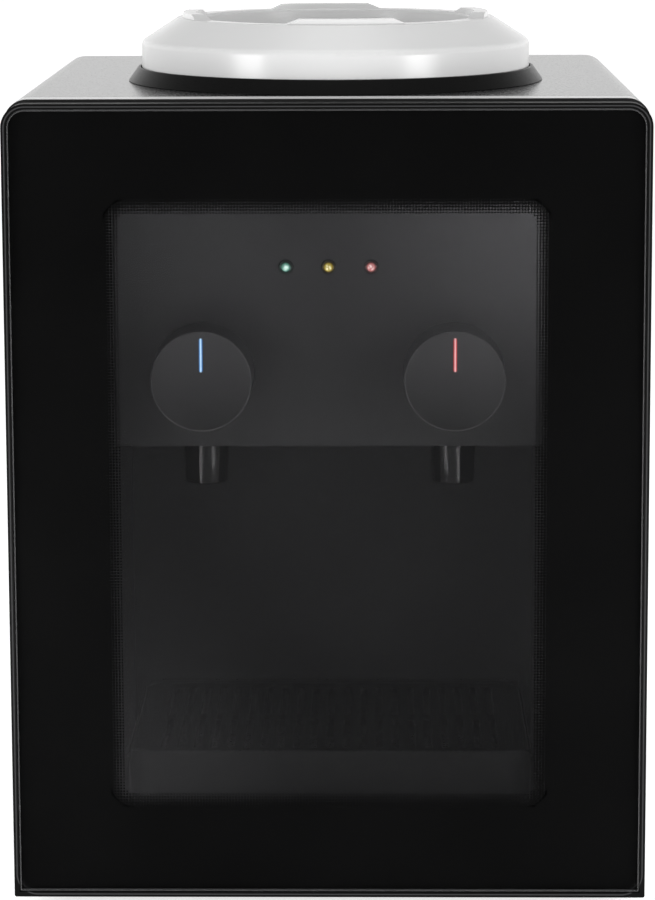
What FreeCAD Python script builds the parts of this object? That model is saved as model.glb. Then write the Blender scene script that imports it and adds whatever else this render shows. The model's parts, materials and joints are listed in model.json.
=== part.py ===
import FreeCAD, Part
import math
import os

# Countertop water dispenser with a glazed front door, two quarter-turn taps and a bottle seat on top.
# Millimetres, +Z up, front towards -Y, origin on the floor under the middle of the body.

V = FreeCAD.Vector

# overall sizes
width = 300.0
depth = 302.0
body_height = 380.0
foot_height = 8.0
wall = 2.5
edge_radius = 11.0

# clearances
flat_gap = 0.2          # between moulded parts that sit side by side
lift_gap = 0.3          # under and around the parts that lift out
running_gap = 0.05      # round pins and spindles
hole_gap = 0.3          # round parts that only pass through a panel

# places up and down: the upper ones hang from the top, the lower ones stand on the base
base = foot_height
top = foot_height + body_height
window_top = top - 53.0
window_bottom = base + 50.5
lamp_height = top - 83.5
knob_height = top - 134.5
bay_ceiling = top - 170.5
bay_floor = base + 36.0

# depths, measured back from the front face of the door
door_thickness = 10.0
door_gap = 3.0
bezel_depth = 13.6
seam = 0.6
fascia_depth = 48.0
bay_depth = 150.0
nozzle_depth = 65.0
bottle_depth = 133.0
back_recess = 12.0
bottle_x = 2.6

# door
door_inset = 0.2
door_top_drop = 1.1
glass_margin = 2.6
glass_thickness = 4.0
glass_recess = 0.3
glass_bevel = 0.8
window_half = 96.5
window_radius = 4.5
frame_reveal = 8.0
hinge_inset = 4.0
hinge_depth = 7.4
hinge_drop = 42.0
hinge_pin_radius = 1.5
hinge_pin_length = 16.0
hinge_leaf = 1.2
hinge_plate = 2.5
hinge_eye = 2.6
magnet_size = V(6.0, 6.1, 24.0)
magnet_inset = 10.0
striker_thickness = 0.6

# cup bay and drip tray
bay_half = 103.0
tray_half = 98.0
tray_front = 18.0
tray_height = 30.5
tray_wall = 2.0
tray_radius = 12.0
rim_step = 5.0
tray_edge = 7.0
tray_lip = 5.3
tray_lip_proud = 1.0
grille_thickness = 3.0
grille_slot = 3.5
grille_pitch = 8.0

# taps
tap_spacing = 120.0
knob_radius = 24.0
knob_face = 22.0
knob_wall = 2.5
knob_draft = 0.4
knob_crown = 0.5
knob_crown_start = 12.0
knob_crown_radius = 500.0
knob_chamfer = 0.9
knob_boss = 6.5
knob_boss_length = 15.5
pointer_width = 1.6
pointer_length = 16.0
pointer_rim = 3.4
pointer_thickness = 0.6
spindle_radius = 3.0
collar_radius = 9.0
collar_length = 4.8
nut_thickness = 4.3
nut_radius = 13.0
valve_radius = 13.0
valve_length = 29.0
outlet_radius = 10.0
nozzle_radius = 11.0
nozzle_tip_radius = 10.4
nozzle_length = 20.3
nozzle_neck = 6.5
nozzle_neck_length = 9.0
water_bore = 4.0

# lamps
lamp_pitch = 20.4
lamp_radius = 2.5
lamp_proud = 2.0
holder_radius = 3.6
holder_proud = 1.0
board_gap = 6.0
board_thickness = 1.6

# bottle seat
ring_radius = 103.6
ring_top_radius = 98.6
ring_height = 7.0
ring_spigot = 98.8
ring_bore = 97.4
ledge_bore = 90.0
ledge_drop = 3.5
gasket_thickness = 1.5
seat_radius = 96.7
seat_wall_height = 19.7
seat_rim_radius = 78.5
seat_rim_height = 31.5
seat_mouth = 68.5
seat_wall = 2.5
pad_height = 2.5
pad_half_angle = 28.0
pad_half_length = 22.5
pad_ramp = 12.0
pad_turn = 5.0
neck_radius = 32.0
neck_drop = 42.0
probe_radius = 8.0
probe_bore = 5.5
probe_height = 42.0

# cold side
tank_radius = 55.0
tank_wall = 2.0
tank_top_drop = 36.0
insulation = 12.0
insulation_floor = 9.7
block_size = 40.0
block_drop = 103.0
block_depth = 14.0
peltier_thickness = 3.8
sink_size = 80.0
sink_base = 5.2
fin_length = 34.0
fin_thickness = 1.5
fin_count = 12
fan_depth = 25.0
fan_bore = 38.0
fan_hub = 15.5
fan_blades = 7
fan_shaft = 2.0

# hot side
hot_x = 45.0
hot_depth = 218.0
hot_radius = 45.0
hot_wall = 1.5
hot_floor = base + 50.0
hot_clearance = 48.0
band_thickness = 2.8
band_height = 22.0
bracket_thickness = 2.0

# hoses
hose_radius = 5.0
hose_bore = 3.2
nipple_radius = 3.0
nipple_bore = 2.0
hose_bend = 14.0
hose_side = 112.0
clamp_thickness = 1.5
clamp_width = 6.0
drain_height = base + 27.5

# fixings and openings in the case
hinge_leaf_reach = V(3.0, 0.0, 9.0)
hinge_leaf_end = 11.0
hinge_slot_gap = 0.5
striker_half = V(5.0, 0.0, 14.0)
case_screw_inset = 5.0
case_screw_drop = 60.0
screw_head_height = 2.0
screw_slot = V(0.4, 1.0, 2.4)
vent_slot = 3.0
vent_pitch = 8.0
vent_rows = 4
hot_vent_reach = 35.0
boss_radius = 3.0
tray_side = 20.0
board_post_gap = 12.5

# back panel fittings
switch_x = -100.0
switch_pitch = 30.0
switch_drop = 190.0
switch_barrel = V(6.5, 12.0, 9.5)
switch_flange = V(8.5, 2.0, 11.5)
switch_room = V(4.6, 6.5, 8.0)
rocker_width = 8.4
rocker_pin_radius = 1.0
rocker_pin_half = 5.4
rocker_tilt = 8.0
inlet_x = -95.0
inlet_height = base + 42.0
inlet_barrel = V(13.5, 18.0, 10.0)
inlet_flange = V(17.0, 2.5, 13.0)
inlet_room = V(11.5, 16.0, 8.0)
spout_radius = 6.0
cap_radius = 8.5
cap_length = 8.7
screw_radius = 1.75
screw_head = 3.5
foot_radius = 12.0
foot_x = 30.0
foot_front = 45.0
foot_back = 32.0


def front(d):
    """Y of a depth measured back from the door's face."""
    return d - depth / 2


half = width / 2
bezel_front = door_thickness + door_gap
bezel_back = bezel_front + bezel_depth
shell_front = bezel_back + seam
bezel_plate = bezel_front + 3.0
back_face = depth - back_recess
back_inner = back_face - wall
fascia_top = window_top + 13.0
tray_top = bay_floor + tray_height
tap_x = tap_spacing / 2
cold_floor = bay_ceiling + wall + lift_gap
tank_floor = cold_floor + insulation_floor + lift_gap
tank_top = top - tank_top_drop
hot_top = cold_floor - hot_clearance
bottle_y = front(bottle_depth)
bottle_axis = V(bottle_x, bottle_y, 0)
tank_axis = V(0, bottle_y, 0)
hot_y = front(hot_depth)
door_left, door_right = -half, half
door_bottom, door_top = base + door_inset, top - door_top_drop
block_height = top - block_drop
block_end = bottle_depth + tank_radius + block_depth
sink_front = block_end + peltier_thickness
sink_back = sink_front + sink_base + fin_length
fan_front = sink_back + flat_gap


def block(x0, x1, y0, y1, z0, z1):
    return Part.makeBox(x1 - x0, y1 - y0, z1 - z0, V(x0, y0, z0))


def rod(radius, start, end):
    return Part.makeCylinder(radius, (end - start).Length, start, end - start)


def tube(radius, bore, start, end):
    return rod(radius, start, end).cut(rod(bore, start, end))


def path(points, radii, closed=True):
    """Straight runs joined by tangent arcs; radii is one number or one per point."""
    count = len(points)
    radii = radii if isinstance(radii, (list, tuple)) else [radii] * count
    arrive, leave, middle = [], [], []
    for i, p in enumerate(points):
        sharp = radii[i] == 0 or (not closed and i in (0, count - 1))
        if sharp:
            arrive.append(p)
            leave.append(p)
            middle.append(None)
            continue
        a = (points[i - 1] - p).normalize()
        b = (points[(i + 1) % count] - p).normalize()
        half_angle = a.getAngle(b) / 2
        reach = radii[i] / math.tan(half_angle)
        bisector = (a + b).normalize()
        arrive.append(p + a * reach)
        leave.append(p + b * reach)
        middle.append(p + bisector * (radii[i] / math.sin(half_angle) - radii[i]))
    edges = []
    for i in range(count):
        if middle[i] is not None:
            edges.append(Part.Arc(arrive[i], middle[i], leave[i]).toShape())
        following = (i + 1) % count
        if (closed or i < count - 1) and leave[i].distanceToPoint(arrive[following]) > 1e-6:
            edges.append(Part.makeLine(leave[i], arrive[following]))
    return Part.Wire(edges)


def upright(x0, x1, z0, z1, d0, d1, top_radius=0.0, bottom_radius=0.0):
    """Plate seen from the front, with rounded top and bottom corners, between two depths."""
    y = front(d0)
    corners = [V(x0, y, z0), V(x1, y, z0), V(x1, y, z1), V(x0, y, z1)]
    wire = path(corners, [bottom_radius, bottom_radius, top_radius, top_radius])
    return Part.Face(wire).extrude(V(0, d1 - d0, 0))


def slab(x0, x1, d0, d1, z0, z1, radius):
    """Block with rounded upright corners, between two depths."""
    y0, y1 = front(d0), front(d1)
    corners = [V(x0, y0, z0), V(x1, y0, z0), V(x1, y1, z0), V(x0, y1, z0)]
    return Part.Face(path(corners, radius)).extrude(V(0, 0, z1 - z0))


def turned(profile, centre, radii=0.0, angle=360.0):
    """Solid of revolution about an upright axis; the profile is (radius, height)."""
    points = [V(centre.x + r, centre.y, z) for r, z in profile]
    return Part.Face(path(points, radii)).revolve(centre, V(0, 0, 1), angle)


def turned_back(profile, x, z, radii=0.0):
    """Solid of revolution about an axis that runs front to back; the profile is (radius, depth)."""
    points = [V(x + r, front(d), z) for r, d in profile]
    return Part.Face(path(points, radii)).revolve(V(x, 0, z), V(0, 1, 0), 360)


def hose(points, bend):
    wire = path(points, bend, closed=False)
    start, heading = points[0], points[1] - points[0]
    skins = []
    for radius in (hose_radius, hose_bore):
        ring = Part.Wire(Part.makeCircle(radius, start, heading))
        skins.append(wire.makePipeShell([ring], True, True))
    return skins[0].cut(skins[1])


def save(name, *solids):
    shape = solids[0] if len(solids) == 1 else Part.makeCompound(solids)
    shape.exportStep("parts/%s.step" % name)


# ---- housing ----

def housing_shell():
    shell = upright(-half, half, base, top, shell_front, depth, edge_radius)
    hollow = upright(-half + wall, half - wall, base - 1, top - wall, shell_front - 1, depth + 1,
                     edge_radius - wall)
    lip_low = base + 24.0
    lip = upright(-half + wall / 2, half - wall / 2, lip_low, top - wall / 2, back_inner - wall,
                  back_inner, edge_radius - wall / 2)
    lip_width = 10.0
    inside = upright(-half + wall + lip_width, half - wall - lip_width, lip_low - 1,
                     top - wall - lip_width, back_inner - wall - 1, back_inner + 1)
    mouth = rod(ring_spigot + flat_gap, bottle_axis + V(0, 0, top - 2 * wall), bottle_axis + V(0, 0, top + 1))
    shell = shell.cut(hollow).fuse(lip.cut(inside)).removeSplitter().cut(mouth)
    for p in screw_places():
        shell = shell.cut(rod(screw_radius + flat_gap, p, p - V(0, 4 * wall, 0)))
    return shell


def screw_places():
    side = half - wall - case_screw_inset
    rows = [base + case_screw_drop, (base + top) / 2, top - case_screw_drop]
    return [V(s * side, front(back_face), z) for s in (-1, 1) for z in rows]


def front_bezel():
    bezel = upright(-half, half, base, top, bezel_front, bezel_back, edge_radius)
    hollow = upright(-half + wall, half - wall, base + wall, top - wall, bezel_plate,
                     bezel_back + 1, edge_radius - wall)
    opening = upright(-bay_half, bay_half, bay_floor, fascia_top - wall, bezel_front - 1, bezel_plate + 1)
    bezel = bezel.cut(hollow).cut(opening)
    for z in hinge_heights():
        bezel = bezel.cut(hinge_leaf_block(z, flat_gap))
    return bezel


def base_tray():
    side = half - wall - lift_gap
    back = back_inner - flat_gap
    rail = 2.0
    tray = slab(-side, side, bezel_back + flat_gap, back, base, base + tray_side, wall)
    room = slab(-side + rail, side - rail, bezel_back + flat_gap + rail, back - rail,
                base + wall, base + tray_side + 1, rail)
    tray = tray.cut(room)
    for x, d in board_posts():
        post = rod(boss_radius, V(x, front(d), base + wall / 2), V(x, front(d), board_height()))
        tray = tray.fuse(post)
    return tray.removeSplitter()


def feet():
    places = [(s * (half - foot_x), d) for s in (-1, 1) for d in (foot_front, depth - foot_back)]
    profile = [(0, 0), (foot_radius - 2.0, 0), (foot_radius, foot_height), (0, foot_height)]
    return [turned(profile, V(x, front(d), 0), [0, 1.0, 0, 0]) for x, d in places]


def vent(x0, x1, z):
    end = vent_slot * 0.45
    return upright(x0, x1, z - vent_slot / 2, z + vent_slot / 2, back_inner - 1, back_face + 1, end, end)


def panel_hole(x, z, size):
    across, high = size.x + flat_gap, size.z + flat_gap
    return upright(x - across, x + across, z - high, z + high, back_inner - 1, back_face + 1)


def back_panel():
    side = half - wall - flat_gap
    panel = upright(-side, side, base + wall + flat_gap, top - wall - flat_gap, back_inner, back_face,
                    edge_radius - wall - flat_gap)
    hot_middle = (hot_floor + hot_top) / 2
    for i in range(-vent_rows, vent_rows + 1):
        rise = i * vent_pitch
        reach = math.sqrt(fan_bore ** 2 - rise ** 2)
        panel = panel.cut(vent(-reach, reach, block_height + rise))
        panel = panel.cut(vent(hot_x - hot_vent_reach, hot_x + hot_vent_reach, hot_middle + rise))
    for x in switch_places():
        panel = panel.cut(panel_hole(x, top - switch_drop, switch_barrel))
    panel = panel.cut(panel_hole(inlet_x, inlet_height, inlet_barrel))
    spout = V(hot_x, front(back_inner - 1), drain_height)
    panel = panel.cut(rod(spout_radius + flat_gap, spout, spout + V(0, 3 * wall, 0)))
    for p in screw_places():
        panel = panel.cut(rod(screw_radius + hole_gap, p + V(0, 1, 0), p - V(0, 2 * wall, 0)))
    return panel


def case_screws():
    screws = []
    for p in screw_places():
        shank = rod(screw_radius, p, p - V(0, 3 * wall, 0))
        head = rod(screw_head, p, p + V(0, screw_head_height, 0))
        thin, start, long = screw_slot.x, p.y + screw_slot.y, screw_slot.z
        end = p.y + screw_head_height + 1
        slot = block(p.x - thin, p.x + thin, start, end, p.z - long, p.z + long)
        bar = block(p.x - long, p.x + long, start, end, p.z - thin, p.z + thin)
        screws.append(shank.fuse(head).removeSplitter().cut(slot).cut(bar))
    return screws


# ---- door ----

def hinge_heights():
    return [door_bottom + hinge_drop, door_top - hinge_drop]


def hinge_x():
    return door_left + hinge_inset


def hinge_leaf_block(z, gap=0.0):
    x = hinge_x()
    reach = hinge_leaf_reach.z + gap
    return block(x - hinge_leaf_reach.x - gap, x + hinge_leaf_end + gap, front(bezel_front),
                 front(bezel_front + hinge_leaf), z - reach, z + reach)


def door_frame():
    frame = upright(door_left, door_right, door_bottom, door_top, 0, door_thickness, edge_radius, 1.0)
    inset = glass_margin - flat_gap
    pocket_floor = glass_recess + glass_thickness
    pocket = upright(door_left + inset, door_right - inset, door_bottom + inset, door_top - inset,
                     -1, pocket_floor, edge_radius - inset)
    window = upright(-window_half - frame_reveal, window_half + frame_reveal,
                     window_bottom - frame_reveal, window_top + frame_reveal,
                     0, door_thickness + 1, window_radius, window_radius)
    frame = frame.cut(pocket).cut(window)
    x, y = hinge_x(), front(hinge_depth)
    reach = hinge_pin_length / 2 + hole_gap
    for z in hinge_heights():
        slot = hinge_plate / 2 + hinge_slot_gap
        frame = frame.cut(block(door_left - 1, x + hinge_eye + 2 * hinge_slot_gap, front(pocket_floor),
                                front(door_thickness) + 1, z - slot, z + slot))
        frame = frame.cut(rod(hinge_pin_radius + running_gap, V(x, y, z - reach), V(x, y, z + reach)))
    return frame.cut(magnet(flat_gap / 2))


def door_glass():
    x0, x1 = door_left + glass_margin, door_right - glass_margin
    z0, z1 = door_bottom + glass_margin, door_top - glass_margin
    radius = edge_radius - glass_margin
    face = glass_recess + glass_bevel
    y = front(face)
    back = upright(x0, x1, z0, z1, face, glass_recess + glass_thickness, radius)
    outer = path([V(x0, y, z0), V(x1, y, z0), V(x1, y, z1), V(x0, y, z1)], [0, 0, radius, radius])
    y = front(glass_recess)
    b = glass_bevel
    inner = path([V(x0 + b, y, z0 + b), V(x1 - b, y, z0 + b), V(x1 - b, y, z1 - b), V(x0 + b, y, z1 - b)],
                 [0, 0, radius - b, radius - b])
    return back.fuse(Part.makeLoft([outer, inner], True, True)).removeSplitter()


def magnet(gap=0.0):
    x = door_right - magnet_inset
    z = (door_bottom + door_top) / 2
    y1 = front(bezel_front - striker_thickness - lift_gap)
    size = magnet_size
    return block(x - size.x / 2 - gap, x + size.x / 2 + gap, y1 - size.y - gap, y1,
                 z - size.z / 2 - gap, z + size.z / 2 + gap)


def door_striker():
    x = door_right - magnet_inset
    z = (door_bottom + door_top) / 2
    return block(x - striker_half.x, x + striker_half.x, front(bezel_front - striker_thickness),
                 front(bezel_front), z - striker_half.z, z + striker_half.z)


def hinge_bracket(z):
    x, y = hinge_x(), front(hinge_depth)
    low, high = z - hinge_plate / 2, z + hinge_plate / 2
    eye = rod(hinge_eye, V(x, y, low), V(x, y, high))
    neck = block(x - hinge_eye, x + hinge_eye, y, front(bezel_front + hinge_leaf / 2), low, high)
    bracket = eye.fuse(neck).fuse(hinge_leaf_block(z)).removeSplitter()
    return bracket.cut(rod(hinge_pin_radius + running_gap / 2, V(x, y, low - 1), V(x, y, high + 1)))


def hinge_pin(z):
    x, y = hinge_x(), front(hinge_depth)
    reach = hinge_pin_length / 2
    return rod(hinge_pin_radius, V(x, y, z - reach), V(x, y, z + reach))


# ---- fascia, bay and tray ----

def control_fascia():
    side = bay_half + wall
    face = upright(-side, side, bay_ceiling, fascia_top, fascia_depth, fascia_depth + wall)
    hood = upright(-side, side, bay_ceiling, fascia_top, bezel_plate, fascia_depth)
    room = upright(-bay_half, bay_half, bay_ceiling - 1, fascia_top - wall, bezel_plate - 1, fascia_depth)
    shelf = upright(-side, side, bay_ceiling, bay_ceiling + wall, fascia_depth, bay_depth)
    fascia = face.fuse(hood.cut(room)).fuse(shelf)
    for s in (-1, 1):
        boss_x = s * 1.5 * lamp_pitch
        boss = V(boss_x, front(fascia_depth + wall / 2), lamp_height)
        boss_end = V(boss_x, front(fascia_depth + wall + board_gap), lamp_height)
        fascia = fascia.fuse(rod(boss_radius, boss, boss_end))
    fascia = fascia.removeSplitter()
    for s in (-1, 1):
        hole = V(s * tap_x, front(fascia_depth - 1), knob_height)
        fascia = fascia.cut(rod(collar_radius + hole_gap, hole, hole + V(0, 3 * wall, 0)))
        neck = V(s * tap_x, front(nozzle_depth), bay_ceiling - 1)
        fascia = fascia.cut(rod(nozzle_neck + hole_gap, neck, neck + V(0, 0, 3 * wall)))
    for x in lamp_places():
        hole = V(x, front(fascia_depth - 1), lamp_height)
        fascia = fascia.cut(rod(holder_radius + flat_gap / 2, hole, hole + V(0, 3 * wall, 0)))
    return fascia


def cup_bay_liner():
    side = bay_half + wall
    low = bay_floor - wall
    liner = upright(-side, side, low, bay_ceiling, bezel_plate, bay_depth)
    room = upright(-bay_half, bay_half, bay_floor, bay_ceiling + 1, bezel_plate - 1, bay_depth - wall)
    liner = liner.cut(room)
    rib_x, rib_end = 80.0, 10.0
    for s in (-1, 1):
        x = s * rib_x
        liner = liner.fuse(block(x - wall / 2, x + wall / 2, front(shell_front + rib_end),
                                 front(bay_depth - rib_end), base + wall, bay_floor - wall / 2))
    return liner.removeSplitter()


def tray_back():
    return bay_depth - wall - 1.0


def drip_tray():
    back = tray_back()
    floor = bay_floor + lift_gap
    inset = tray_lip_proud
    lip = slab(-tray_half, tray_half, tray_front, back, tray_top - tray_lip, tray_top, tray_radius)
    body = slab(-tray_half + inset, tray_half - inset, tray_front + inset, back - inset, floor,
                tray_top - tray_lip, tray_radius - inset)
    tray = lip.fuse(body).common(upright(-tray_half, tray_half, floor, tray_top, tray_front, back, tray_edge))
    step = slab(-tray_half + tray_wall, tray_half - tray_wall, tray_front + tray_wall, back - tray_wall,
                tray_top - rim_step, tray_top + 1, tray_radius - tray_wall)
    deep = 2 * tray_wall
    well = slab(-tray_half + deep, tray_half - deep, tray_front + deep, back - deep,
                floor + tray_wall, tray_top, tray_radius - deep)
    return tray.cut(step).cut(well).removeSplitter()


def drip_grille():
    gap = tray_wall + lift_gap
    x, d0, d1 = tray_half - gap, tray_front + gap, tray_back() - gap
    low = tray_top - rim_step + flat_gap
    grille = slab(-x, x, d0, d1, low, low + grille_thickness, tray_radius - gap)
    border = 9.0
    count = int((2 * (x - border)) // grille_pitch)
    rows = 2
    length = (d1 - d0 - border * (rows + 1)) / rows
    for i in range(count):
        sx = (i - (count - 1) / 2) * grille_pitch
        for row in range(rows):
            start = d0 + border + row * (length + border)
            slot = slab(sx - grille_slot / 2, sx + grille_slot / 2, start, start + length,
                        low - 1, low + grille_thickness + 1, grille_slot * 0.45)
            grille = grille.cut(slot)
    return grille


# ---- taps ----

def knob(x):
    back = fascia_depth - 0.6
    r = knob_radius
    shell = turned_back([(0, knob_face), (knob_crown_start, knob_face), (r, knob_face + knob_crown),
                         (r + knob_draft, back), (0, back)], x, knob_height,
                        [0, knob_crown_radius, knob_chamfer, 0, 0])
    inner = knob_face + knob_wall
    hollow = turned_back([(0, inner), (r - knob_wall, inner), (r - knob_wall, back + 1), (0, back + 1)],
                         x, knob_height)
    axis = V(x, front(inner), knob_height)
    boss = rod(knob_boss, axis - V(0, 1, 0), axis + V(0, knob_boss_length, 0))
    bore = rod(spindle_radius + running_gap / 2, axis + V(0, knob_wall, 0), axis + V(0, knob_boss_length + 1, 0))
    slot = pointer(x, running_gap)
    return shell.cut(hollow).fuse(boss).removeSplitter().cut(bore).cut(slot)


def pointer(x, gap=0.0):
    high = knob_height + knob_radius - pointer_rim + gap
    low = high - pointer_length - 2 * gap
    side = pointer_width / 2 + gap
    return upright(x - side, x + side, low, high, knob_face - (1.0 if gap else 0.1),
                   knob_face + pointer_thickness, side * 0.95, side * 0.95)


def spindle(x):
    start = V(x, front(knob_face + 2 * knob_wall + flat_gap), knob_height)
    return rod(spindle_radius, start, V(x, front(nozzle_depth + outlet_radius - 3.0), knob_height))


def valve_body(x):
    side = math.copysign(1, x)
    back = fascia_depth + wall
    axis_y = lambda d: V(x, front(d), knob_height)
    body = rod(valve_radius, axis_y(back), axis_y(back + valve_length))
    collar = rod(collar_radius, axis_y(fascia_depth - collar_length), axis_y(back + 1))
    low = V(x, front(nozzle_depth), bay_ceiling + wall + lift_gap)
    outlet = rod(outlet_radius, low, V(x, front(nozzle_depth), knob_height))
    barb_start = V(x, front(nozzle_depth), knob_height)
    barb = rod(nipple_radius, barb_start, barb_start + V(side * (valve_radius + 15.0), 0, 0))
    body = body.fuse(collar).fuse(outlet).fuse(barb).removeSplitter()
    spindle_end = nozzle_depth + outlet_radius - 2.0
    body = body.cut(rod(spindle_radius + running_gap, axis_y(fascia_depth - collar_length - 1),
                        axis_y(spindle_end)))
    body = body.cut(rod(nozzle_neck + running_gap, low - V(0, 0, 1), low + V(0, 0, nozzle_neck_length)))
    body = body.cut(rod(water_bore, low, V(x, front(nozzle_depth), knob_height - spindle_radius)))
    inlet = barb_start + V(side * (spindle_radius + 1.0), 0, 0)
    return body.cut(rod(nipple_bore, inlet, inlet + V(side * (valve_radius + 20.0), 0, 0)))


def nozzle(x):
    y = front(nozzle_depth)
    tip = bay_ceiling - nozzle_length
    neck_top = bay_ceiling + wall + nozzle_neck_length - 1.0
    profile = [(water_bore, tip), (nozzle_tip_radius, tip), (nozzle_radius, bay_ceiling - running_gap),
               (nozzle_neck, bay_ceiling - running_gap), (nozzle_neck, neck_top), (water_bore, neck_top)]
    return turned(profile, V(x, y, 0), [0, 0.8, 0, 0, 0, 0])


def tap_nut(x):
    y0, y1 = front(fascia_depth - nut_thickness), front(fascia_depth)
    corners = []
    for i in range(6):
        a = math.radians(60 * i)
        corners.append(V(x + nut_radius * math.cos(a), y0, knob_height + nut_radius * math.sin(a)))
    nut = Part.Face(path(corners, 0.0)).extrude(V(0, y1 - y0, 0))
    return nut.cut(rod(collar_radius + running_gap, V(x, y0 - 1, knob_height), V(x, y1 + 1, knob_height)))


# ---- lamps ----

def lamp_places():
    return [-lamp_pitch, 0.0, lamp_pitch]


def lamp(x):
    r = lamp_radius
    tip = fascia_depth - lamp_proud
    end = fascia_depth + wall + board_gap
    body = rod(r, V(x, front(tip + r), lamp_height), V(x, front(end), lamp_height))
    dome = Part.makeSphere(r, V(x, front(tip + r), lamp_height))
    flange = rod(r + 0.4, V(x, front(end - 1.0), lamp_height), V(x, front(end), lamp_height))
    return body.fuse(dome).fuse(flange).removeSplitter()


def lamp_holder(x):
    d0, d1 = fascia_depth - holder_proud, fascia_depth + 4.0
    profile = [(lamp_radius + 0.1, d0 + 0.5), (holder_radius - 0.4, d0), (holder_radius, d0 + 0.4),
               (holder_radius, d1), (lamp_radius + 0.1, d1)]
    return turned_back(profile, x, lamp_height)


def lamp_board():
    d0 = fascia_depth + wall + board_gap
    x = 2 * lamp_pitch
    return upright(-x, x, lamp_height - 9.0, lamp_height + 9.0, d0, d0 + board_thickness, 1.0, 1.0)


# ---- bottle seat ----

def top_ring():
    z = top
    profile = [(ledge_bore, z - ledge_drop - wall), (ring_spigot, z - ledge_drop - wall), (ring_spigot, z),
               (ring_radius, z), (ring_top_radius, z + ring_height), (ring_bore, z + ring_height),
               (ring_bore, z - ledge_drop), (ledge_bore, z - ledge_drop)]
    return turned(profile, bottle_axis, [0, 0, 0, 0.3, 0.5, 0, 0, 0])


def seat_gasket():
    z = top - ledge_drop
    inner, outer = ledge_bore + 2 * flat_gap, ring_bore - 2 * flat_gap
    high = z + gasket_thickness
    return turned([(inner, z), (outer, z), (outer, high), (inner, high)], bottle_axis)


def pad_wedge(rim):
    """Block that gives a pad on the right-hand side its sloping ends."""
    low, high = rim - pad_height, rim + pad_height
    foot, crest = pad_half_length + pad_ramp, pad_half_length
    x = bottle_x + seat_mouth / 2
    corners = [V(x, bottle_y - foot, low), V(x, bottle_y + foot, low), V(x, bottle_y + crest, high),
               V(x, bottle_y - crest, high)]
    return Part.Face(path(corners, 0.0)).extrude(V(seat_radius, 0, 0))


def bottle_seat():
    w = seat_wall
    foot = top - ledge_drop + gasket_thickness + flat_gap
    shoulder, rim = top + seat_wall_height, top + seat_rim_height
    neck_low = top - neck_drop
    outer = [(seat_radius, foot), (seat_radius, shoulder), (seat_rim_radius, rim), (seat_mouth, rim)]
    well = [(seat_mouth - 4.5, top - 8.0), (neck_radius - w, top - 30.0), (neck_radius - w, neck_low + w),
            (probe_radius - 2.0, neck_low + w), (probe_radius - 2.0, neck_low)]
    under = [(neck_radius, neck_low), (neck_radius, top - 31.5), (seat_mouth - 2.2, top - 9.7),
             (seat_mouth + 2.0, rim - 1.4 * w), (seat_rim_radius - 1.0, rim - 1.2 * w),
             (seat_radius - w, shoulder - 0.6 * w), (seat_radius - w, foot)]
    radii = [0, 3.5, 2.0, 1.5, 8.0, 6.0, 0, 0, 0, 0, 8.0, 6.0, 0, 0, 1.0, 0]
    centre = bottle_axis
    seat = turned(outer + well + under, centre, radii)
    pad_inner, pad_outer = seat_mouth + 0.5, seat_rim_radius - 2.0
    for i in range(4):
        profile = [(pad_inner, rim - 1.0), (pad_outer, rim - 1.0), (pad_outer - 0.6, rim + pad_height),
                   (pad_inner + 0.4, rim + pad_height)]
        pad = turned(profile, centre, 0.0, 2 * pad_half_angle)
        pad.rotate(centre, V(0, 0, 1), -pad_half_angle)
        pad = pad.common(pad_wedge(rim))
        pad.rotate(centre, V(0, 0, 1), 90 * i + pad_turn)
        seat = seat.fuse(pad)
    seat = seat.removeSplitter()
    holes = 6
    for i in range(holes):
        a = 2 * math.pi * i / holes
        r = (neck_radius + probe_radius) / 2
        p = bottle_axis + V(r * math.cos(a), r * math.sin(a), neck_low - 1)
        seat = seat.cut(rod(4.0, p, p + V(0, 0, 3 * w)))
    return seat


def bottle_probe():
    low = top - neck_drop + seat_wall
    high = low + probe_height
    profile = [(probe_bore, low), (probe_radius + 3.0, low), (probe_radius + 3.0, low + 2.0),
               (probe_radius, low + 2.0), (probe_radius, high - 10.0), (2.0, high), (0, high),
               (0, high - 3.0), (probe_bore, high - 12.0)]
    probe = turned(profile, bottle_axis, [0, 0, 0, 0, 2.0, 0, 0, 0, 0])
    slot_low, slot_high, slot_half = high - 21.0, high - 12.0, 1.5
    reach = probe_radius + 1
    return probe.cut(block(bottle_x - reach, bottle_x + reach, bottle_y - slot_half, bottle_y + slot_half,
                           slot_low, slot_high))


# ---- cold side ----

def cold_tank():
    w = tank_wall
    r = tank_radius
    mouth = neck_radius + 3.0
    profile = [(0, tank_floor), (r, tank_floor), (r, tank_top), (mouth, tank_top), (mouth, tank_top - w),
               (r - w, tank_top - w), (r - w, tank_floor + w), (0, tank_floor + w)]
    tank = turned(profile, tank_axis)
    side = V(-r + w / 2, bottle_y, knob_height)
    side_end = V(-r - insulation - 14.0, bottle_y, knob_height)
    low = V(feed_x(), feed_y(), tank_floor + w / 2)
    low_end = V(feed_x(), feed_y(), cold_floor - 12.0)
    tank = tank.fuse(rod(nipple_radius, side, side_end)).fuse(rod(nipple_radius, low, low_end))
    tank = tank.removeSplitter()
    tank = tank.cut(rod(nipple_bore, side + V(w, 0, 0), side_end))
    return tank.cut(rod(nipple_bore, low + V(0, 0, w), low_end))


def feed_x():
    return -35.0


def feed_y():
    return bottle_y + 32.0


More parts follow.
